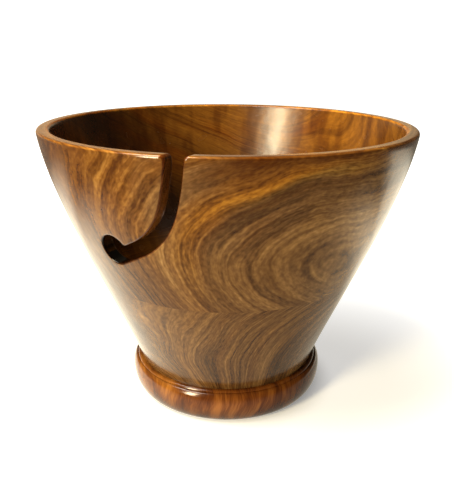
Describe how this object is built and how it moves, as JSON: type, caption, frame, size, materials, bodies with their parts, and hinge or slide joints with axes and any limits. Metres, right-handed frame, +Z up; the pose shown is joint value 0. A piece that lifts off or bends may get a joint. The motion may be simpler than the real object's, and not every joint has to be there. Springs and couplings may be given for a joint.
{
  "type": "yarn bowl",
  "caption": "Turned wooden yarn bowl with a flared wall, a curved yarn slot from the rim ending in a round guide hole, and a bead foot.",
  "frame": {"origin": "on the bowl's turning axis, in the plane of the foot's stand ring", "axes": "+Z up along the turning axis; the yarn slot is on the -Y side and curls towards -X"},
  "size_m": [0.1654, 0.1654, 0.1265],
  "materials": {
    "upper_wood": "gloss lacquer over figured walnut-brown hardwood",
    "lower_wood": "gloss lacquer over straight-grained walnut-brown hardwood",
    "foot_wood": "gloss lacquer over reddish hardwood"
  },
  "bodies": {
    "root": {"upper_block": "upper_wood", "lower_block": "lower_wood", "foot_ring": "foot_wood"}
  },
  "joints": []
}
